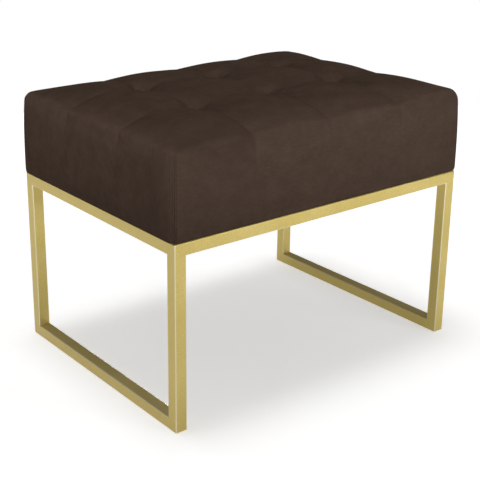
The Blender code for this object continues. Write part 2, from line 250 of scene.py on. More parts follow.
def put(tree, kind, inputs=(), **settings):
    """Adds a shader node, with its settings, and with each input given as a value or as another's output."""
    node = tree.nodes.new(kind)
    set_all(node, settings)
    for key, value in dict(inputs).items():
        if isinstance(value, bpy.types.NodeSocket):
            tree.links.new(value, node.inputs[key])
        else:
            node.inputs[key].default_value = value
    return node


def new_material(name, constants=()):
    """A material with its tree and its own Principled shader, which holds the constant values."""
    made = bpy.data.materials.new(name)
    made.use_nodes = True
    shader = made.node_tree.nodes["Principled BSDF"]
    for key, value in dict(constants).items():
        shader.inputs[key].default_value = value
    return made, made.node_tree, shader


def mix_colours(tree, factor, first, second, blend='MIX'):
    """Two colours mixed by a factor."""
    inputs = {0: factor, 6: first, 7: second}
    return put(tree, 'ShaderNodeMix', inputs, data_type='RGBA', blend_type=blend).outputs[2]


def spread(tree, value, low, high, to_low=0.0, to_high=1.0):
    """Maps a value from one range to another, held at its ends."""
    inputs = {"Value": value, "From Min": low, "From Max": high, "To Min": to_low, "To Max": to_high}
    return put(tree, 'ShaderNodeMapRange', inputs).outputs["Result"]


def between(tree, value, low, high, first, second):
    """One colour at the low end of a value's range, passing to another at its high end."""
    return mix_colours(tree, spread(tree, value, low, high), first, second)


def shade(tree, tone, value, low, high, to_low, to_high):
    """A colour multiplied by a value that is mapped from one range to another."""
    return mix_colours(tree, 1.0, tone, spread(tree, value, low, high, to_low, to_high), 'MULTIPLY')


def maths(tree, operation, *values):
    """One step of arithmetic on values or outputs."""
    return put(tree, 'ShaderNodeMath', dict(enumerate(values)), operation=operation).outputs[0]


def noise(tree, place, scale, detail, **more):
    """A noise texture's value at a place."""
    inputs = {"Vector": place, "Scale": scale, "Detail": detail, **more}
    return put(tree, 'ShaderNodeTexNoise', inputs).outputs["Fac"]


def feed(tree, shader, colour, roughness=None, bump=None):
    """Links a colour, a roughness, and a bump given as its strength, depth and height, to a shader."""
    if bump:
        bump = put(tree, 'ShaderNodeBump', zip(("Strength", "Distance", "Height"), bump)).outputs["Normal"]
    for socket, value in (("Base Color", colour), ("Roughness", roughness), ("Normal", bump)):
        if value is not None:
            tree.links.new(value, shader.inputs[socket])


def new_group(name, inputs, outputs):
    """An empty shader node group with named value or vector sockets, its input side and its output side."""
    group = bpy.data.node_groups.new(name, 'ShaderNodeTree')
    kinds = {"value": 'NodeSocketFloat', "vector": 'NodeSocketVector'}
    for direction, sockets in (('INPUT', inputs), ('OUTPUT', outputs)):
        for socket, kind in sockets.items():
            group.interface.new_socket(socket, in_out=direction, socket_type=kinds[kind])
    return group, put(group, 'NodeGroupInput').outputs, put(group, 'NodeGroupOutput').inputs


# Fine speckle that sprayed, moulded and plated surfaces share: a slow cloud and a fine grain.
speckle, speckle_in, speckle_out = new_group(
    "speckle", {"Cloud Scale": "value", "Grain Scale": "value"}, {"Cloud": "value", "Grain": "value"})
place = put(speckle, 'ShaderNodeTexCoord').outputs["Object"]
speckle.links.new(noise(speckle, place, speckle_in["Cloud Scale"], 3.0), speckle_out["Cloud"])
speckle.links.new(noise(speckle, place, speckle_in["Grain Scale"], 2.0), speckle_out["Grain"])


def speckled(tree, cloud_scale, grain_scale):
    """The speckle's outputs, at a surface's own scales."""
    scales = {"Cloud Scale": cloud_scale, "Grain Scale": grain_scale}
    return put(tree, 'ShaderNodeGroup', scales, node_tree=speckle).outputs


gold_colour = (0.60, 0.467, 0.138, 1)
gold_pale = (0.66, 0.52, 0.175, 1)
gold_painted_highlight = (0.84, 0.76, 0.52, 1)
gold_paint, tree, shader = new_material("satin_gold_paint", {"Metallic": 0.65})
marks = speckled(tree, 14.0, 900.0)
tone = between(tree, marks["Cloud"], 0.35, 0.65, gold_colour, gold_pale)
tone = shade(tree, tone, marks["Grain"], 0.35, 0.65, 0.90, 1.08)
# Painted highlight: the ground roundings are painted a pale cream gold.
painted_edge_highlight = put(tree, 'ShaderNodeAttribute', attribute_name="painted_edge_highlight").outputs["Fac"]
tone = mix_colours(tree, spread(tree, painted_edge_highlight, 0.0, 1.0, 0.0, 0.85), tone, gold_painted_highlight)
feed(tree, shader, tone, spread(tree, marks["Cloud"], 0.3, 0.7, 0.38, 0.46), (0.06, 0.0004, marks["Grain"]))

# This attribute is 1 on the ground roundings, which get a painted highlight in pale gold, and 0 on the flats and on the
# roundings of the top face, under the seat.
planes = np.array([tuple(frame_low), tuple(inner_low), tuple(inner_high), tuple(frame_high)])
for tube in tubes:
    places = vertex_places(tube)
    off_plane = np.abs(places[:, None, :] - planes[None]).min(1)
    in_rounding = (off_plane > 3 * on_plane) & (off_plane < ground_edge_radius - on_plane)
    under_seat = places[:, 2] > frame_high.z - 2 * ground_edge_radius
    in_rounding[under_seat, 2] = False
    painted_edge_highlight = tube.data.attributes.new("painted_edge_highlight", 'FLOAT', 'POINT')
    painted_edge_highlight.data.foreach_set("value", (in_rounding.sum(1) > 1).astype(np.float32))
    finish_piece(tube, gold_paint)

# Corner tabs and welds
# A flat steel tab is welded inside each corner of the top frame, to screw the seat down by. The beads there
# and between the floor rails and the legs are left as welded, and are sprayed with the frame.
bead_radius = 0.0014
bead_sides = 10
bead_ripples = 8
ripple_size = 0.84
bead_end_size = 0.35
bead_end_gap = 0.003


def weld_bead(name, start, end):
    """A rippled bead of weld metal between two points."""
    start, end = Vector(start), Vector(end)
    length = (end - start).length
    add = bpy.ops.mesh.primitive_cylinder_add
    made = primitive(add, name, vertices=bead_sides, radius=bead_radius, depth=length)
    with editing(made):
        pick(made, 'EDGE', lambda edge: abs(edge.verts[0].co.z - edge.verts[1].co.z) > length / 2)
        bpy.ops.mesh.subdivide(number_cuts=2 * bead_ripples - 1)
        for ring in range(0, 2 * bead_ripples + 1, 2):
            height = length * (ring / (2 * bead_ripples) - 0.5)
            size = ripple_size if 0 < ring < 2 * bead_ripples else bead_end_size
            pick(made, 'VERT', lambda vert: abs(vert.co.z - height) < on_plane)
            bpy.ops.transform.resize(value=(size, size, 1), center_override=(0, 0, height))
    turn = (end - start).to_track_quat('Z', 'Y').to_matrix().to_4x4()
    made.data.transform(Matrix.Translation((start + end) / 2) @ turn)
    return made


def join(pieces, name):
    """Joins pieces into the first of them."""
    only(pieces[0])
    for piece in pieces:
        piece.select_set(True)
    bpy.ops.object.join()
    pieces[0].name = name
    return pieces[0]


def dress(node, material):
    """Gives a CAD node that stays visible its material."""
    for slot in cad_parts[node].material_slots:
        slot.material = material


beads = []
for (end, side), corner_name in corner_names.items():
    outer = corners[(end, side)]
    rail_y = outer.y - side * tube_width
    from_x = outer.x - end * (ground_edge_radius + bead_end_gap)
    to_x = outer.x - end * (tube_width - ground_edge_radius)
    beads.append(weld_bead("bead", (from_x, rail_y, tube_width), (to_x, rail_y, tube_width)))
    tab_low, tab_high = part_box("corner_tab_" + corner_name)
    tab_x = (tab_low.x, tab_high.x)[::-end]
    tab_y = (tab_low.y, tab_high.y)[::-side]
    near_x, near_y = tab_x[0] - end * bead_end_gap, tab_y[0] - side * bead_end_gap
    far_x, far_y = tab_x[1] + end * 4 * bead_end_gap, tab_y[1] + side * 4 * bead_end_gap
    beads.append(weld_bead("bead", (near_x, tab_y[0], tab_low.z), (far_x, tab_y[0], tab_low.z)))
    beads.append(weld_bead("bead", (tab_x[0], near_y, tab_low.z), (tab_x[0], far_y, tab_low.z)))
    dress("corner_tab_" + corner_name, gold_paint)
finish_piece(join(beads, "weld_beads"), gold_paint, 60)

# Wooden box
# Sawn pine, glued and nailed: two long boards, two end boards, a block in each corner and two braces. A deck of
# five-ply birch plywood lies on it, with a small hole under each tuft.
pine_pale = (0.56, 0.40, 0.21, 1)
pine_late = (0.42, 0.26, 0.115, 1)
birch_pale = (0.55, 0.42, 0.26, 1)
birch_late = (0.46, 0.33, 0.19, 1)
ply_thickness = 0.0018
wood_grain, grain_in, grain_out = new_group(
    "wood_grain", {"Place": "vector", "Ring Scale": "value", "Fibre Scale": "value"},
    {"Rings": "value", "Fibre": "value"})
rings = put(wood_grain, 'ShaderNodeTexWave', {
    "Vector": grain_in["Place"], "Scale": grain_in["Ring Scale"], "Distortion": 5.0, "Detail": 3.0,
    "Detail Scale": 1.4}, bands_direction='DIAGONAL')
wood_grain.links.new(rings.outputs["Fac"], grain_out["Rings"])
wood_grain.links.new(noise(wood_grain, grain_in["Place"], grain_in["Fibre Scale"], 4.0), grain_out["Fibre"])


def wood(name, stretch, pale, late, ring_scale):
    """Bare wood, with its grain drawn out along the direction whose scale is small."""
    made, tree, shader = new_material(name, {"Specular IOR Level": 0.3})
    place = put(tree, 'ShaderNodeTexCoord').outputs["Object"]
    drawn_out = put(tree, 'ShaderNodeMapping', {"Vector": place, "Scale": stretch}).outputs["Vector"]
    inputs = {"Place": drawn_out, "Ring Scale": ring_scale, "Fibre Scale": 700.0}
    marks = put(tree, 'ShaderNodeGroup', inputs, node_tree=wood_grain).outputs
    tone = between(tree, marks["Rings"], 0.25, 0.95, pale, late)
    tone = shade(tree, tone, marks["Fibre"], 0.3, 0.7, 0.88, 1.06)
    feed(tree, shader, tone, spread(tree, marks["Fibre"], 0.3, 0.7, 0.62, 0.80), (0.25, 0.0004, marks["Fibre"]))
    return made, tree, shader, tone, place


pine_ways = [
    ("lengthwise", (0.05, 1.0, 1.0), ["board_front", "board_back"]),
    ("crosswise", (1.0, 0.05, 1.0), ["board_left", "board_right", "cross_brace_left", "cross_brace_right"]),
    ("upright", (1.0, 1.0, 0.05), ["corner_block_" + corner_name for corner_name in corner_names.values()])]
for way, stretch, nodes in pine_ways:
    pine = wood("pine_" + way, stretch, pine_pale, pine_late, 26.0)[0]
    for node in nodes:
        dress(node, pine)

# The deck's plies show on its edges as stripes.
birch_plywood, tree, shader, tone, place = wood("birch_plywood", (0.05, 1.0, 1.0), birch_pale, birch_late, 12.0)
height = put(tree, 'ShaderNodeSeparateXYZ', {"Vector": place}).outputs["Z"]
into_deck = maths(tree, 'SUBTRACT', height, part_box("plywood_deck")[0].z - ply_thickness / 2)
ply = maths(tree, 'PINGPONG', into_deck, ply_thickness)
feed(tree, shader, shade(tree, tone, ply, 0.35 * ply_thickness, 0.65 * ply_thickness, 0.72, 1.0))
dress("plywood_deck", birch_plywood)

# Foam
# A block of cream upholstery foam on the deck, pressed to the seat's crowned and tufted form by the cover, and
# a strip of thin foam glued on each side of the box.
seat_low, seat_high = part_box("seat_cover")
half_length = (seat_high.x - seat_low.x) / 2
half_depth = (seat_high.y - seat_low.y) / 2
hem_low = seat_low.z
seat_crown = 0.020
crown_power_ends = 6
crown_power_front = 6
crown_power_back = 4
top_edge = seat_high.z - seat_crown
cushion_rise = top_edge - hem_low
round_radius = 0.020
top_draw_in = 0.006
hem_inset = 0.005
hem_rise = 0.008
hem_sag = 0.0025
hem_sag_inset = 0.0065
shoulder_drop = 0.004
shoulder_width = 0.060
near_corner_drop = 0.009
near_corner_reach = 0.150
fuller_places = [(-0.26, 0.20, 0.07, -0.003), (0.24, 0.20, 0.09, 0.004), (0.29, -0.20, 0.09, 0.0025)]
fold_depth = 0.0055
fold_width = 0.078
fold_power = 1.7
row_fold_share = 0.75
side_fold_depth = 0.003
side_fold_width = 0.055
tuft_column_spacing = 0.164
tuft_row_spacing = 0.160
hollow_depth = 0.008
hollow_radius = 0.085
tuft_depth = 0.019
tuft_radius = 0.034
dimple_depth = 0.002
dimple_radius = 0.009
pleat_depth = 0.0006
pleat_reach = 0.018
crease_depth = 0.0022
crease_width = 0.007
crease_power = 1.5
crease_start = 0.02
crease_drop = 0.060
row_crease_share = 0.5
seam_depth = 0.0009
seam_width = 0.004
seam_start = 0.02
column_lines = np.array([-tuft_column_spacing, 0.0, tuft_column_spacing])
row_lines = np.array([-tuft_row_spacing / 2, tuft_row_spacing / 2])
tuft_places = [(column, row) for row in row_lines for column in column_lines]
length_stops = np.array([-half_length, *column_lines, half_length])
depth_stops = np.array([-half_depth, *row_lines, half_depth])
drift_right = np.array([
    (0, 0, 0, 0, 0), (0, -0.006, -0.010, -0.011, 0), (0, -0.002, -0.003, -0.003, 0), (0, -0.002, -0.009, -0.015, 0)])
drift_back = np.array([
    (0, 0, 0, 0, 0), (0, -0.004, 0.005, 0.010, 0.008), (0, -0.002, 0.001, 0.003, 0.003), (0, 0, 0, 0, 0)])
flat_over_foam = 0.0063
cell_pull = 0.45

# Where the painted shade of the top gives way to the sides' tone, at the ends, at the long sides and on the near left
# panel, in metres past the edge, and the painted highlights along the ends and at the tufts and the painted shade in
# front of each tuft.
painted_end_start, painted_end_width = -0.035, 0.055
painted_side_start, painted_side_end = -0.060, 0.035
painted_panel_later, painted_panel_longer, painted_panel_half = 0.070, 0.010, 0.006
painted_end_highlight, painted_end_highlight_place, painted_end_highlight_reach = 0.5, 0.002, 0.028
painted_tuft_highlight, painted_tuft_highlight_reach = 0.5, 0.020
painted_tuft_shade, painted_tuft_shade_before, painted_tuft_shade_along, painted_tuft_shade_across = 0.35, 0.050, 0.055, 0.028


def graded(stops, cells, pull):
    """Places along a line with cells between stops, closer together at each stop."""
    share = np.arange(cells) / cells
    share = share - pull * np.sin(2 * math.pi * share) / (2 * math.pi)
    places = [a + (b - a) * share for a, b in zip(stops[:-1], stops[1:])]
    return np.concatenate(places + [np.array(stops[-1:])])


def falling(distance, reach, power=1):
    """1 at no distance, falling to 0 at a reach."""
    return np.clip(1 - distance / reach, 0, 1) ** power


def bump_at(x, y, reach):
    """1 at the middle, falling to 0 as a bell round it."""
    return np.exp(-(x ** 2 + y ** 2) / reach ** 2)


def near_lines(x, y, width, power):
    """How near a place is to the nearest column line and row line: 1 on it, falling to 0 at a width."""
    return [falling(np.abs(place[..., None] - lines).min(-1), width, power)
            for place, lines in ((x, column_lines), (y, row_lines))]


def drift(x, y):
    """How far a place on the seat lies off its even grid, to the right and to the back."""
    column = np.clip(np.searchsorted(length_stops, x) - 1, 0, 3)
    row = np.clip(np.searchsorted(depth_stops, y) - 1, 0, 2)
    across = (x - length_stops[column]) / (length_stops[column + 1] - length_stops[column])
    along = (y - depth_stops[row]) / (depth_stops[row + 1] - depth_stops[row])
    across, along = [share * share * (3 - 2 * share) for share in (across, along)]
    moves = []
    for table in (drift_right, drift_back):
        near = table[row, column] * (1 - across) + table[row, column + 1] * across
        far = table[row + 1, column] * (1 - across) + table[row + 1, column + 1] * across
        moves.append(near * (1 - along) + far * along)
    return moves


def top_rise(x, y):
    """Height of the crowned and tufted top over its flat edge."""
    share_x = np.clip(np.abs(x) / (half_length - round_radius), 0, 1)
    share_y = np.clip(np.abs(y) / (half_depth - round_radius), 0, 1)
    crown_power_y = np.where(y < 0, crown_power_front, crown_power_back)
    crown = seat_crown * (1 - share_x ** crown_power_ends) * (1 - share_y ** crown_power_y)
    to_corner = np.hypot(x + half_length, y + half_depth)
    crown = crown - shoulder_drop * falling(half_length - np.abs(x), shoulder_width, 2)
    crown = crown - near_corner_drop * falling(to_corner, near_corner_reach, 1.5)
    for full_x, full_y, full_reach, fullness in fuller_places:
        crown = crown + fullness * bump_at(x - full_x, y - full_y, full_reach)
    by_column, by_row = near_lines(x, y, fold_width, fold_power)
    folds = np.maximum(by_column, row_fold_share * by_row)
    pit = np.zeros_like(x)
    pleats = np.zeros_like(x)
    for number, (tuft_x, tuft_y) in enumerate(tuft_places):
        reach = np.hypot(x - tuft_x, y - tuft_y)
        turn = np.arctan2(y - tuft_y, x - tuft_x)
        hollow = hollow_depth * falling(reach, hollow_radius, 1.5) + tuft_depth * falling(reach, tuft_radius, 1.8)
        pit = np.maximum(pit, hollow + dimple_depth * falling(reach, dimple_radius))
        waves = np.sin((7 + number % 3) * turn + 1.7 * number + 0.6 * np.sin(3 * turn))
        pleats += pleat_depth * waves * reach / pleat_reach * np.exp(1 - reach / pleat_reach)
    past_row = np.clip((np.abs(y) - row_lines[1]) / crease_start, 0, 1)
    past_column = np.clip((np.abs(x) - column_lines[2]) / crease_start, 0, 1)
    by_column, by_row = near_lines(x, y, crease_width, crease_power)
    creases = np.maximum(by_column * past_row, row_crease_share * by_row * past_column)
    return crown - fold_depth * folds - pit + pleats - crease_depth * creases


def wrap(x, y, below):
    """Where the cloth lies: x and y on the box's faces, and how far below its top edge the place is."""
    spot = np.stack([x, y, top_edge - below], -1)
    inside = np.stack([
        np.clip(x, round_radius - half_length, half_length - round_radius),
        np.clip(y, round_radius - half_depth, half_depth - round_radius),
        np.minimum(top_edge - below, top_edge - round_radius)], -1)
    out = spot - inside
    out /= np.linalg.norm(out, axis=-1, keepdims=True)
    spot = inside + out * round_radius
    level = out.copy()
    level[..., 2] = 0
    length = np.linalg.norm(level, axis=-1, keepdims=True)
    level /= np.maximum(length, 1e-9)
    rise = np.clip((spot[..., 2] - hem_low) / cushion_rise, 0, 1)
    hem = falling(spot[..., 2] - hem_low, hem_rise)
    inset = top_draw_in * rise ** 3 * length[..., 0] + hem_inset * (1 - np.sqrt(np.clip(1 - hem ** 2, 0, 1)))
    facing_x = np.abs(out[..., 0]) ** 2
    facing_y = np.abs(out[..., 1]) ** 2
    by_column, by_row = near_lines(x, y, side_fold_width, 2)
    folds = facing_x * by_row + facing_y * by_column
    by_column, by_row = near_lines(x, y, crease_width, crease_power)
    creases = facing_x * by_row + facing_y * by_column
    from_seam = np.maximum(half_length - np.abs(x), half_depth - np.abs(y))
    inset = inset + side_fold_depth * folds * rise ** 2
    inset = inset + crease_depth * creases * falling(below, crease_drop)
    inset = inset + seam_depth * falling(from_seam, seam_width) * np.clip(below / seam_start, 0, 1)
    spot = spot - level * inset[..., None]
    over_rail = falling(inset ** 2, hem_sag_inset ** 2) * (below > 0.5 * cushion_rise)
    spot[..., 2] -= hem_sag * facing_x * over_rail * np.clip(2 * hem, 0, 1)
    right, back = drift(x, y)
    fade = falling(below, cushion_rise)
    spot[..., 0] += right * fade
    spot[..., 1] += back * fade
    upward = np.clip(out[..., 2], 0, 1)
    spot[..., 2] += top_rise(x, y) * np.where(upward > 0.999, 1, upward ** 2)
    return spot


def painted_light_and_shade(x, y, below):
    """Painted light and shade on the cover: 0 on the top, which is painted darker, rising to 1 on the sides, with
    painted highlights along the ends and at the tufts and painted shade in front of each tuft.
    """
    off_x = below - (half_length - np.abs(x))
    off_y = below - (half_depth - np.abs(y))
    near_panel = np.clip((column_lines[0] + painted_panel_half - x) / (2 * painted_panel_half), 0, 1) * (y < 0)
    start = painted_side_start + painted_panel_later * near_panel
    end = painted_side_end + painted_panel_longer * near_panel
    at_end = np.clip((off_x - painted_end_start) / painted_end_width, 0, 1)
    painted_shading = np.maximum(at_end, np.clip((off_y - start) / (end - start), 0, 1))
    # Painted highlight along the ends.
    painted_shading = painted_shading + painted_end_highlight * np.exp(-((off_x - painted_end_highlight_place) / painted_end_highlight_reach) ** 2) * (off_x > off_y)
    # Painted highlight at each tuft, and painted shade just in front of it.
    for tuft_x, tuft_y in tuft_places:
        from_x, from_y = x - tuft_x, y - tuft_y
        painted_shading = painted_shading + painted_tuft_highlight * bump_at(from_x, from_y, painted_tuft_highlight_reach)
        before = ((from_y + painted_tuft_shade_before) / painted_tuft_shade_across) ** 2
        painted_shading = painted_shading - painted_tuft_shade * np.exp(-(from_x / painted_tuft_shade_along) ** 2 - before)
    return painted_shading


def made_from(shape, name):
    """The object that a shape made in code becomes, with its faces outwards."""
    bmesh.ops.recalc_face_normals(shape, faces=shape.faces)
    mesh = bpy.data.meshes.new(name)
    shape.to_mesh(mesh)
    shape.free()
    return new_object(name, mesh)


def seat_form(name, cells, drops, tucks=()):
    """A sheet in the seat's form. It has cells between the tuft lines, rows down its sides and rows tucked under.
    It carries a map of the flat sheet in metres, and the cover's painted light and shade at each place."""
    sheet = bmesh.new()
    flat_map = sheet.loops.layers.uv.new("flat_sheet")
    painted_layer = sheet.verts.layers.float.new("painted_light_and_shade")

    def add_patch(places, flats, painted_tones, turned_over):
        verts = {}
        for spot in np.ndindex(painted_tones.shape):
            verts[spot] = sheet.verts.new(places[spot])
            verts[spot][painted_layer] = painted_tones[spot]
        for i, j in np.ndindex(painted_tones.shape[0] - 1, painted_tones.shape[1] - 1):
            ring = [(i, j), (i + 1, j), (i + 1, j + 1), (i, j + 1)]
            if turned_over:
                ring.reverse()
            face = sheet.faces.new([verts[spot] for spot in ring])
            face.smooth = True
            for loop, spot in zip(face.loops, ring):
                loop[flat_map].uv = flats[spot]

    def ordered(along_x, across, onward):
        return (across, onward) if along_x else (onward, across)

    length_places = graded(length_stops, cells, cell_pull)
    depth_places = graded(depth_stops, cells, cell_pull)
    x, y = np.meshgrid(length_places, depth_places, indexing='ij')
    level = np.zeros_like(x)
    add_patch(wrap(x, y, level), np.stack([x, y], -1), painted_light_and_shade(x, y, level), False)
    for end in (-1, 1):
        for along_x in (True, False):
            span = length_places if along_x else depth_places
            face_place = end * (half_depth if along_x else half_length)
            across, down = np.meshgrid(span, drops, indexing='ij')
            places = wrap(*ordered(along_x, across, np.full_like(across, face_place)), down)
            lowest = places[:, -1:]
            if len(tucks):
                pulled_in = lowest.copy()
                tuck_width = hem_inset + tucks[-1]
                pulled_in[..., 0] = np.clip(lowest[..., 0], tuck_width - half_length, half_length - tuck_width)
                pulled_in[..., 1] = np.clip(lowest[..., 1], tuck_width - half_depth, half_depth - tuck_width)
                under = [lowest + (pulled_in - lowest) * tuck / tucks[-1] for tuck in tucks]
                places = np.concatenate([places] + under, 1)
            down = np.concatenate([drops, drops[-1] + np.array(tucks)])
            across, down = np.meshgrid(span, down, indexing='ij')
            flats = np.stack(ordered(along_x, across, face_place + end * down), -1)
            painted_tones = painted_light_and_shade(*ordered(along_x, across, np.full_like(across, face_place)), down)
            add_patch(places, flats, painted_tones, (end > 0) == along_x)
    bmesh.ops.remove_doubles(sheet, verts=sheet.verts, dist=on_plane)
    return made_from(sheet, name)


def move_in(piece, depth):
    """Moves a sheet inwards by a depth."""
    for vertex, normal in [(vertex, vertex.normal.copy()) for vertex in piece.data.vertices]:
        vertex.co -= normal * depth


foam_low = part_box("foam_block")[0].z
strip_edge_radius = 0.0025
foam_piece = seat_form("seat_foam", 14, graded([0.0, top_edge - foam_low], 8, 0.2))
move_in(foam_piece, flat_over_foam)
with editing(foam_piece):
    bpy.ops.mesh.select_mode(type='EDGE')
    bpy.ops.mesh.select_all(action='DESELECT')
    bpy.ops.mesh.select_non_manifold()
    bpy.ops.transform.resize(value=(1, 1, 0), center_override=(0, 0, foam_low))
    bpy.ops.mesh.edge_face_add()
    bpy.ops.mesh.select_all(action='SELECT')
    bpy.ops.mesh.normals_make_consistent(inside=False)
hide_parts("foam_block")
foam_pieces = [foam_piece]
for side_name in ("front", "back", "left", "right"):
    node = "side_padding_" + side_name
    strip = block(node + "_foam", *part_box(node))
    modify(strip, 'BEVEL', width=strip_edge_radius, segments=3)
    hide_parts(node)
    foam_pieces.append(strip)

foam_cream = (0.78, 0.73, 0.56, 1)
foam_shade = (0.62, 0.56, 0.38, 1)
open_foam, tree, shader = new_material("open_cell_foam", {"Roughness": 0.95, "Specular IOR Level": 0.1})
place = put(tree, 'ShaderNodeTexCoord').outputs["Object"]
bubbles = put(tree, 'ShaderNodeTexVoronoi', {"Vector": place, "Scale": 650.0}).outputs["Distance"]
tone = between(tree, bubbles, 0.1, 0.6, foam_shade, foam_cream)
tone = shade(tree, tone, speckled(tree, 9.0, 500.0)["Cloud"], 0.3, 0.7, 0.93, 1.05)
feed(tree, shader, tone, bump=(0.5, 0.0006, bubbles))
for piece in foam_pieces:
    finish_piece(piece, open_foam, 50)

# Fibre wadding
# A layer of white polyester fibre over the foam and down the padded sides. It rounds the edges off and lets
# the cover slide.
cloth_thickness = 0.0012
layer_gap = 0.0008
wadding_thickness = 0.0036
wadding = seat_form("fibre_wadding_layer", 14, graded([0.0, cushion_rise - hem_rise], 12, 0.3))
move_in(wadding, cloth_thickness + layer_gap)
modify(wadding, 'SOLIDIFY', thickness=wadding_thickness, offset=-1)
fibre_shade = (0.66, 0.66, 0.64, 1)
fibre_white = (0.82, 0.82, 0.80, 1)
loose_fibre, tree, shader = new_material("loose_polyester_fibre", {"Roughness": 1.0, "Specular IOR Level": 0.1})
flat = put(tree, 'ShaderNodeUVMap', uv_map="flat_sheet").outputs["UV"]
strands = noise(tree, flat, 160.0, 6.0, Distortion=2.5)
feed(tree, shader, between(tree, strands, 0.3, 0.7, fibre_shade, fibre_white), bump=(0.6, 0.0015, strands))
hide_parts("fibre_wadding")
finish_piece(wadding, loose_fibre, 60)

# Suede cover
# One piece of brown suede-like cloth over the top and the sides. It is sewn up at the four upright corners,
# drawn down by six tufts, and stapled under the wooden box. Its nap runs along the seat.
hem_width = 0.0326
hem_turn = np.linspace(0, math.pi / 2, 7)[1:]
side_drop = graded([0.0, cushion_rise - hem_rise], 26, 0.35)
drops = np.concatenate([side_drop, cushion_rise - hem_rise + hem_rise * np.sin(hem_turn)])
tucks = np.linspace(0, hem_width - hem_inset, 5)[1:]
suede_cover = seat_form("suede_cover", 24, drops, tucks)
held_at_tuft = 0.010
held_at_seam = 0.014
swell_limit = 0.002
sink_limit = 0.0004
slide_limit = 0.0015
last_frame = 20
cloth_settings = {
    "quality": 5, "mass": 0.3, "tension_stiffness": 20, "compression_stiffness": 20, "shear_stiffness": 8,
    "bending_stiffness": 0.5, "shrink_min": -0.008, "use_pressure": True, "uniform_pressure_force": 3}


def settle(piece):
    """Runs Blender's Cloth on the cover, held at its tufts, corner seams and hem, with the padding's pressure behind
    it. It may swell and slide a little, and hardly sink, so that it stays off the wadding."""
    before = vertex_places(piece)
    outward = np.array([tuple(vertex.normal) for vertex in piece.data.vertices])
    x, y, z = before.T
    right, back = drift(x, y)
    to_tuft = np.min([np.hypot(x - right - tuft_x, y - back - tuft_y) for tuft_x, tuft_y in tuft_places], axis=0)
    to_seam = np.hypot(half_length - np.abs(x), half_depth - np.abs(y))
    held = (to_tuft < held_at_tuft) | (to_seam < held_at_seam) | (z < hem_low + hem_rise)
    group = piece.vertex_groups.new(name="held")
    group.add([int(number) for number in np.flatnonzero(held)], 1.0, 'REPLACE')
    only(piece)
    settings = piece.modifiers.new("cloth", 'CLOTH').settings
    set_all(settings, cloth_settings)
    settings.vertex_group_mass = group.name
    settings.effector_weights.gravity = 0
    for frame_number in range(1, last_frame + 1):
        bpy.context.scene.frame_set(frame_number)
    bpy.ops.object.modifier_apply(modifier="cloth")
    bpy.context.scene.frame_set(1)
    piece.vertex_groups.clear()
    moved = vertex_places(piece) - before
    swell = (moved * outward).sum(1, keepdims=True)
    slide = moved - swell * outward
    slide *= slide_limit / np.maximum(np.linalg.norm(slide, axis=1, keepdims=True), slide_limit)
    limit = np.where(swell > 0, swell_limit, sink_limit)
    settled = before + limit * np.tanh(swell / limit) * outward + slide
    piece.data.vertices.foreach_set("co", settled.astype(np.float32).ravel())
    piece.data.update()


settle(suede_cover)
modify(suede_cover, 'SUBSURF', levels=1, render_levels=1)
modify(suede_cover, 'SOLIDIFY', thickness=cloth_thickness, offset=-1)

suede_brown = (0.0685, 0.0452, 0.0331, 1)
suede_dark = (0.0620, 0.0410, 0.0300, 1)
top_painted_shade = 0.80
seam_rises = (-0.012, -0.020)
stitch_line = 0.005
stitch_length = 0.0035
suede, tree, shader = new_material("brown_suede", {"Roughness": 0.95, "Specular IOR Level": 0.0})
flat = put(tree, 'ShaderNodeUVMap', uv_map="flat_sheet").outputs["UV"]
along = put(tree, 'ShaderNodeMapping', {"Vector": flat, "Scale": (0.4, 1.0, 1.0)}).outputs["Vector"]
streaks = noise(tree, along, 260.0, 4.0)
brushed = noise(tree, along, 30.0, 3.0)
blotches = noise(tree, flat, 42.0, 5.0, Roughness=0.65)
# Painted light and shade, carried by the sheet: a darker top, lighter sides and ends, highlights at the tufts and shade
# in front of them.
painted_shading = put(tree, 'ShaderNodeAttribute', attribute_name="painted_light_and_shade").outputs["Fac"]
tone = between(tree, brushed, 0.35, 0.65, suede_dark, suede_brown)
tone = shade(tree, tone, streaks, 0.3, 0.7, 0.93, 1.07)
tone = shade(tree, tone, blotches, 0.35, 0.65, 0.93, 1.07)
# Painted shade: the top is painted darker than the sides by the given share; the painted highlights at the ends and
# tufts come out lighter, and the painted shade in front of the tufts darker.
tone = shade(tree, tone, painted_shading, -0.5, 1.5, 1.5 * top_painted_shade - 0.5, 1.5 - top_painted_shade / 2)

# The flat sheet's map says how far a place is from a corner seam and down a side, for the joint and its stitches.
spots = put(tree, 'ShaderNodeSeparateXYZ', {"Vector": flat}).outputs
inside = [maths(tree, 'SUBTRACT', half, maths(tree, 'ABSOLUTE', spots[axis]))
          for axis, half in enumerate((half_length, half_depth))]
from_seam = maths(tree, 'MAXIMUM', *inside)
down_side = maths(tree, 'MINIMUM', *inside)
on_side = spread(tree, down_side, *seam_rises)
joint = maths(tree, 'MULTIPLY', spread(tree, from_seam, 0.0014, 0.0004), on_side)
off_stitches = maths(tree, 'ABSOLUTE', maths(tree, 'SUBTRACT', from_seam, stitch_line))
stitch = maths(tree, 'MULTIPLY', spread(tree, off_stitches, 0.0010, 0.0003), on_side)
step = maths(tree, 'PINGPONG', down_side, stitch_length)
stitch = maths(tree, 'MULTIPLY', stitch, spread(tree, step, 0.15 * stitch_length, 0.35 * stitch_length))
sewn = maths(tree, 'MAXIMUM', joint, stitch)
relief = maths(tree, 'SUBTRACT', streaks, spread(tree, sewn, 0.0, 1.0, 0.0, 2.0))
feed(tree, shader, shade(tree, tone, sewn, 0.0, 1.0, 1.0, 0.6), bump=(0.2, 0.0006, relief))
suede_cover.data.materials.append(suede)
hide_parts("seat_cover")
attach(suede_cover, "root")

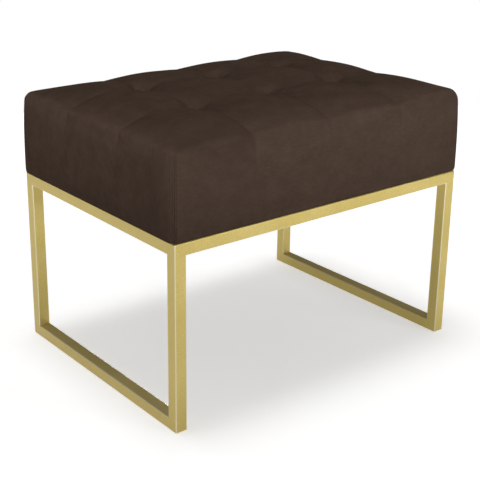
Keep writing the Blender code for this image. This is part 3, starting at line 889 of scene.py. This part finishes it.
# Tuft twines and anchors
# Each tuft hangs on a doubled waxed twine, sewn to the back of the cover. It runs down through the foam and the
# deck to a knot under a moulded nylon washer.
twine_radius = 0.0006
twine_spacing = 0.0014
twine_sides = 8
twine_twist = 0.004
loop_steps = 6
knot_radius = 0.0024
knot_tilt = (0.5, 0.25, 0.0)


def swept(name, path, radius, sides):
    """A round rod along a path, closed at its ends, with a map that runs round and along it."""
    shape = bmesh.new()
    wound = shape.loops.layers.uv.new("round_and_along")
    path = [Vector(point) for point in path]
    rings = []
    along = [0.0]
    for number, point in enumerate(path):
        ahead = path[min(number + 1, len(path) - 1)] - path[max(number - 1, 0)]
        side_way = ahead.cross(Vector((0, 1, 0))).normalized()
        up_way = side_way.cross(ahead).normalized()
        turns = [2 * math.pi * step / sides for step in range(sides)]
        rings.append([shape.verts.new(point + (side_way * math.cos(t) + up_way * math.sin(t)) * radius) for t in turns])
        if number:
            along.append(along[-1] + (point - path[number - 1]).length)
    for ring, step in np.ndindex(len(rings) - 1, sides):
        quad = ((step, ring), (step + 1, ring), (step + 1, ring + 1), (step, ring + 1))
        face = shape.faces.new([rings[far][across % sides] for across, far in quad])
        for loop, (across, far) in zip(face.loops, quad):
            loop[wound].uv = (across / sides, along[far])
    shape.faces.new(reversed(rings[0]))
    shape.faces.new(rings[-1])
    return made_from(shape, name)


twine_shade = (0.42, 0.37, 0.26, 1)
twine_pale = (0.68, 0.62, 0.48, 1)
waxed_twine, tree, shader = new_material("waxed_twine", {"Specular IOR Level": 0.4})
wound = put(tree, 'ShaderNodeUVMap', uv_map="round_and_along").outputs["UV"]
lay = put(tree, 'ShaderNodeMapping', {"Vector": wound, "Scale": (1.0, 1 / twine_twist, 1.0)}).outputs["Vector"]
strands = put(tree, 'ShaderNodeTexWave', {"Vector": lay, "Scale": 0.6, "Distortion": 0.4}, bands_direction='DIAGONAL')
strand = strands.outputs["Fac"]
tone = between(tree, strand, 0.2, 0.9, twine_shade, twine_pale)
feed(tree, shader, tone, spread(tree, strand, 0.0, 1.0, 0.6, 0.75), (0.7, 0.0003, strand))

nylon_shade = (0.70, 0.69, 0.65, 1)
nylon_pale = (0.76, 0.75, 0.71, 1)
moulded_nylon, tree, shader = new_material("moulded_nylon")
marks = speckled(tree, 60.0, 1500.0)
tone = between(tree, marks["Cloud"], 0.35, 0.65, nylon_shade, nylon_pale)
feed(tree, shader, tone, spread(tree, marks["Grain"], 0.3, 0.7, 0.42, 0.55), (0.1, 0.0002, marks["Grain"]))

half_gap = twine_spacing / 2
deck_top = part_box("plywood_deck")[1].z
for number, (tuft_x, tuft_y) in enumerate(tuft_places, 1):
    anchor = "tuft_anchor_%d" % number
    low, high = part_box(anchor)
    hole_x, hole_y = (low.x + high.x) / 2, (low.y + high.y) / 2
    knot_middle = low.z - knot_radius
    rise = float(top_rise(np.array(tuft_x), np.array(tuft_y)))
    right, back = drift(np.array(tuft_x), np.array(tuft_y))
    tuft_x, tuft_y = tuft_x + float(right), tuft_y + float(back)
    loop_top = top_edge + rise - cloth_thickness - layer_gap - twine_radius
    path = [(hole_x - half_gap, hole_y, knot_middle), (hole_x - half_gap, hole_y, deck_top)]
    for turn in np.linspace(math.pi, 0, loop_steps + 1):
        path.append((tuft_x + half_gap * math.cos(turn), tuft_y, loop_top - half_gap + half_gap * math.sin(turn)))
    path += [(hole_x + half_gap, hole_y, deck_top), (hole_x + half_gap, hole_y, knot_middle)]
    doubled = swept("tuft_twine_%d_doubled" % number, path, twine_radius, twine_sides)
    knot = primitive(
        bpy.ops.mesh.primitive_torus_add, "knot", major_radius=knot_radius * 0.6, minor_radius=knot_radius * 0.4,
        major_segments=16, minor_segments=8, location=(hole_x, hole_y, knot_middle), rotation=knot_tilt)
    bpy.ops.object.transform_apply()
    knot.data.uv_layers[0].name = "round_and_along"
    twine = join([doubled, knot], "tuft_twine_%d_doubled" % number)
    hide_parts("tuft_twine_%d" % number)
    finish_piece(twine, waxed_twine, 60)
    dress(anchor, moulded_nylon)

# Dust cover
# Thin black non-woven cloth that closes the underside. It is stapled up into the box just inside the steel
# rails, and sags a little between them.
dust_thickness = 0.0005
dust_sag = 0.0015
dust_sag_steepness = 1.6
dust_held = 0.004
dust_low, dust_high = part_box("dust_cover")
dust_flat = (dust_high.x - dust_low.x, dust_high.y - dust_low.y)
margin = Vector((dust_held, dust_held, 0))
open_low, open_high = inner_low + margin, inner_high - margin
add = bpy.ops.mesh.primitive_grid_add
dust_cloth = primitive(add, "dust_cover_cloth", x_subdivisions=48, y_subdivisions=36, size=1)
for vertex in dust_cloth.data.vertices:
    spot = Vector((vertex.co.x * dust_flat[0], vertex.co.y * dust_flat[1], dust_low.z))
    sag = dust_sag
    for axis in (0, 1):
        share = (spot[axis] - open_low[axis]) / (open_high[axis] - open_low[axis])
        sag *= min(1.0, dust_sag_steepness * math.sin(math.pi * min(1.0, max(0.0, share))))
    vertex.co = spot - Vector((0, 0, sag))
modify(dust_cloth, 'SOLIDIFY', thickness=dust_thickness, offset=1)
black = (0.010, 0.010, 0.010, 1)
black_grain = (0.020, 0.020, 0.021, 1)
black_cloud = (0.028, 0.028, 0.030, 1)
nonwoven, tree, shader = new_material("black_nonwoven_cloth", {"Specular IOR Level": 0.2})
place = put(tree, 'ShaderNodeTexCoord').outputs["Object"]
pattern = {"Vector": place, "Scale": 420.0, "Randomness": 0.35}
dots = put(tree, 'ShaderNodeTexVoronoi', pattern).outputs["Distance"]
marks = speckled(tree, 40.0, 1100.0)
tone = between(tree, marks["Grain"], 0.3, 0.7, black, black_grain)
tone = mix_colours(tree, spread(tree, marks["Cloud"], 0.45, 0.75, 0.0, 0.5), tone, black_cloud)
feed(tree, shader, tone, spread(tree, dots, 0.1, 0.5, 0.75, 0.95), (0.4, 0.0003, dots))
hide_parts("dust_cover")
finish_piece(dust_cloth, nonwoven, 60)

# Staples
# Galvanised wire staples, 10 mm wide, driven up through the dust cover and the hem into the boards, just inside
# the steel rails.
staple_width = 0.010
staple_wire = 0.0007
staple_leg = 0.004
staple_spacing = 0.042
staple_inset = 0.0025
staple_edge = 0.00015
staple_from_corner = 0.045
zinc_grey = (0.50, 0.51, 0.52, 1)
zinc_pale = (0.64, 0.65, 0.66, 1)
zinc, tree, shader = new_material("zinc_plate", {"Metallic": 1.0})
marks = speckled(tree, 220.0, 2600.0)
tone = between(tree, marks["Cloud"], 0.4, 0.6, zinc_grey, zinc_pale)
feed(tree, shader, tone, spread(tree, marks["Cloud"], 0.3, 0.7, 0.28, 0.45), (0.08, 0.0001, marks["Grain"]))

crown_low = dust_low.z - staple_wire
half_size = Vector((staple_width / 2, staple_wire / 2, 0))
one_staple = block("staple", -half_size, half_size + Vector((0, 0, staple_wire)))
with editing(one_staple):
    for end in (-1, 1):
        pick(one_staple, 'FACE', lambda face: face.normal.x * end > 0.9)
        bpy.ops.mesh.extrude_region_move(TRANSFORM_OT_translate={"value": (end * staple_wire, 0, 0)})
        beyond = end * staple_width / 2
        pick(one_staple, 'FACE', lambda face: face.normal.z > 0.9 and (face.calc_center_median().x - beyond) * end > 0)
        bpy.ops.mesh.extrude_region_move(TRANSFORM_OT_translate={"value": (0, 0, staple_leg)})
modify(one_staple, 'BEVEL', width=staple_edge, segments=1)
staples = []
line_x, line_y = inner_high.x - staple_inset, inner_high.y - staple_inset
for along_x, line, run in ((True, line_y, line_x), (False, line_x, line_y)):
    count = int(2 * (run - staple_from_corner) / staple_spacing) + 1
    for side in (-1, 1):
        for number in range(count):
            place = (number - (count - 1) / 2) * staple_spacing
            made = new_object("staple", one_staple.data.copy())
            spot = (place, side * line, crown_low) if along_x else (side * line, place, crown_low)
            turn = Matrix.Identity(4) if along_x else Matrix.Rotation(math.pi / 2, 4, 'Z')
            made.data.transform(Matrix.Translation(spot) @ turn)
            staples.append(made)
bpy.data.objects.remove(one_staple)
finish_piece(join(staples, "dust_cover_staples"), zinc)

# Seat screws
# A zinc-plated pan-head wood screw through each corner tab, up into the block in the corner of the box.
shank_radius = 0.0018
neck_radius = 0.00207
tip_radius = 0.0003
thread_radius = 0.0025
thread_pitch = 0.0018
head_radius = 0.0050
head_height = 0.0030
head_rim = 0.0008
head_flat_share = 0.35
head_steps = 5
plain_neck = 0.006
tip_length = 0.004
recess_width = 0.0011
recess_reach = 0.0028
recess_depth = 0.0018
recess_overrun = 0.001


def turned(name, profile, sides, place):
    """A round piece about an upright line: rings of the given radii and heights, closed at both ends."""
    x, y = place
    radius, height = profile[0]
    add = bpy.ops.mesh.primitive_circle_add
    made = primitive(add, name, vertices=sides, radius=radius, fill_type='NGON', location=(x, y, height))
    bpy.ops.object.transform_apply()
    with editing(made):
        for next_radius, next_height in profile[1:]:
            bpy.ops.mesh.extrude_region_move(TRANSFORM_OT_translate={"value": (0, 0, next_height - height)})
            size = next_radius / radius
            bpy.ops.transform.resize(value=(size, size, 1), center_override=(x, y, next_height))
            radius, height = next_radius, next_height
        bpy.ops.mesh.select_all(action='SELECT')
        bpy.ops.mesh.normals_make_consistent(inside=False)
    return made


first_low, first_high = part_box("seat_screw_front_left")
under_tab = first_low.z + head_height
rim_low = under_tab - head_rim
profile = []
for step in range(head_steps):
    turn = math.pi / 2 * (step + 0.5) / head_steps
    head_size = head_flat_share + (1 - head_flat_share) * math.sin(turn)
    profile.append((head_radius * head_size, rim_low - (head_height - head_rim) * math.cos(turn)))
profile += [(head_radius, rim_low), (head_radius, under_tab)]
profile += [(neck_radius, under_tab), (neck_radius, under_tab + plain_neck)]
turns = int((first_high.z - tip_length - under_tab - plain_neck) / thread_pitch)
for turn in range(turns):
    ridge = under_tab + plain_neck + turn * thread_pitch
    for radius, share in ((shank_radius, 0.2), (thread_radius, 0.5), (shank_radius, 0.8)):
        profile.append((radius, ridge + share * thread_pitch))
profile += [(tip_radius, first_high.z)]
for (end, side), corner_name in corner_names.items():
    low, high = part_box("seat_screw_" + corner_name)
    middle = ((low.x + high.x) / 2, (low.y + high.y) / 2)
    screw = turned("seat_screw_%s_pan_head" % corner_name, profile, 20, middle)
    for half_x, half_y in ((recess_reach, recess_width / 2), (recess_width / 2, recess_reach)):
        slot_low = (middle[0] - half_x, middle[1] - half_y, low.z - recess_overrun)
        slot_high = (middle[0] + half_x, middle[1] + half_y, low.z + recess_depth)
        cut_away(screw, slot_low, slot_high)
    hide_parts("seat_screw_" + corner_name)
    finish_piece(screw, zinc, 40)

# Floor
# A plain pale studio floor. It shows white to the camera and in reflections, and keeps the shadow.
floor_size = 3.6
floor_white = (0.8, 0.8, 0.8, 1)
floor_seen_white = (1, 1, 1, 1)
floor_own_glow = 0.50
floor_edge_glow = 0.70
glow_rises = (0.6, 1.6)
floor = primitive(bpy.ops.mesh.primitive_plane_add, "studio_floor", size=floor_size)
floor_paper, tree, shader = new_material("floor_paper", {"Roughness": 1.0, "Specular IOR Level": 0.0})
seen = put(tree, 'ShaderNodeLightPath').outputs
direct = maths(tree, 'MAXIMUM', seen["Is Camera Ray"], seen["Is Glossy Ray"])
direct = maths(tree, 'MAXIMUM', direct, seen["Is Transmission Ray"])
feed(tree, shader, mix_colours(tree, direct, floor_white, floor_seen_white))
place = put(tree, 'ShaderNodeTexCoord').outputs["Object"]
far_off = put(tree, 'ShaderNodeVectorMath', {0: place}, operation='LENGTH').outputs["Value"]
glow = maths(tree, 'MULTIPLY', direct, spread(tree, far_off, *glow_rises, floor_own_glow, floor_edge_glow))
light = put(tree, 'ShaderNodeEmission', {"Strength": glow})
both = put(tree, 'ShaderNodeAddShader', {0: shader.outputs[0], 1: light.outputs[0]})
tree.links.new(both.outputs[0], tree.nodes["Material Output"].inputs["Surface"])
floor.data.materials.append(floor_paper)

# Light
# Soft studio light: a large lamp overhead, which gives the floor its shadow, a key lamp in front on the left,
# and weaker ones low in front, on the left and behind, in a dim pale room that shows white to the camera.
room_level = 0.20
low_lamp_size = (1.2, 0.3)
world = bpy.data.worlds.new("studio")
bpy.context.scene.world = world
world.use_nodes = True
tree = world.node_tree
backdrop = tree.nodes["Background"]
backdrop.inputs["Color"].default_value = (1, 1, 1, 1)
seen = put(tree, 'ShaderNodeLightPath').outputs
direct = maths(tree, 'MAXIMUM', seen["Is Camera Ray"], seen["Is Transmission Ray"])
tree.links.new(spread(tree, direct, 0.0, 1.0, room_level, 1.0), backdrop.inputs["Strength"])


def direction(azimuth, elevation):
    """The direction at two angles in degrees. Azimuth 0 is in front, and 90 on the right."""
    turn, rise = math.radians(azimuth), math.radians(elevation)
    return Vector((math.sin(turn) * math.cos(rise), -math.cos(turn) * math.cos(rise), math.sin(rise)))


def lamp(name, azimuth, elevation, distance, size, beam, power):
    """A soft lamp that faces the cushion."""
    out = direction(azimuth, elevation)
    data = bpy.data.lights.new(name, 'AREA')
    data.shape = 'RECTANGLE'
    data.size, data.size_y = size
    data.spread = math.radians(beam)
    data.energy = power
    made = new_object(name, data)
    made.location = Vector((0, 0, top_edge)) + out * distance
    made.rotation_euler = out.to_track_quat('Z', 'Y').to_euler()


lamp("overhead_lamp", -135, 85, 8.0, (2.6, 2.6), 180, 222)
lamp("key_lamp", -30, 14, 4.0, low_lamp_size, 11, 1.18)
lamp("left_lamp", -74, 6, 4.0, low_lamp_size, 11, 0.25)
lamp("front_lamp", 26, 3, 4.0, low_lamp_size, 40, 2.1)
lamp("back_lamp", 137, 8, 4.0, low_lamp_size, 11, 1.4)

# Camera
# The photograph's viewpoint: off the left front corner, a little above the seat, with a long lens.
camera_azimuth = -37.81
camera_elevation = 18.79
camera_roll = math.radians(0.32)
camera_distance = 2.002
camera_aim = Vector((0, 0, 0.2))
camera_slide = Vector((-0.0465, 0.0654))
camera_shift = (0.05, -0.0833)
lens_in_widths = 1060 / 480
sensor_width = 36.0
back = direction(camera_azimuth, camera_elevation)
level = direction(camera_azimuth + 90, 0)
upward = back.cross(level)
right = level * math.cos(camera_roll) + upward * math.sin(camera_roll)
up = upward * math.cos(camera_roll) - level * math.sin(camera_roll)
view = bpy.data.cameras.new("view")
view.sensor_width = sensor_width
view.lens = lens_in_widths * sensor_width
view.shift_x, view.shift_y = camera_shift
camera = new_object("camera", view)
spot = camera_aim + back * camera_distance + right * camera_slide.x + up * camera_slide.y
camera.matrix_world = Matrix.Translation(spot) @ Matrix((right, up, back)).transposed().to_4x4()
bpy.context.scene.camera = camera
bpy.context.scene.view_settings.view_transform = 'Standard'
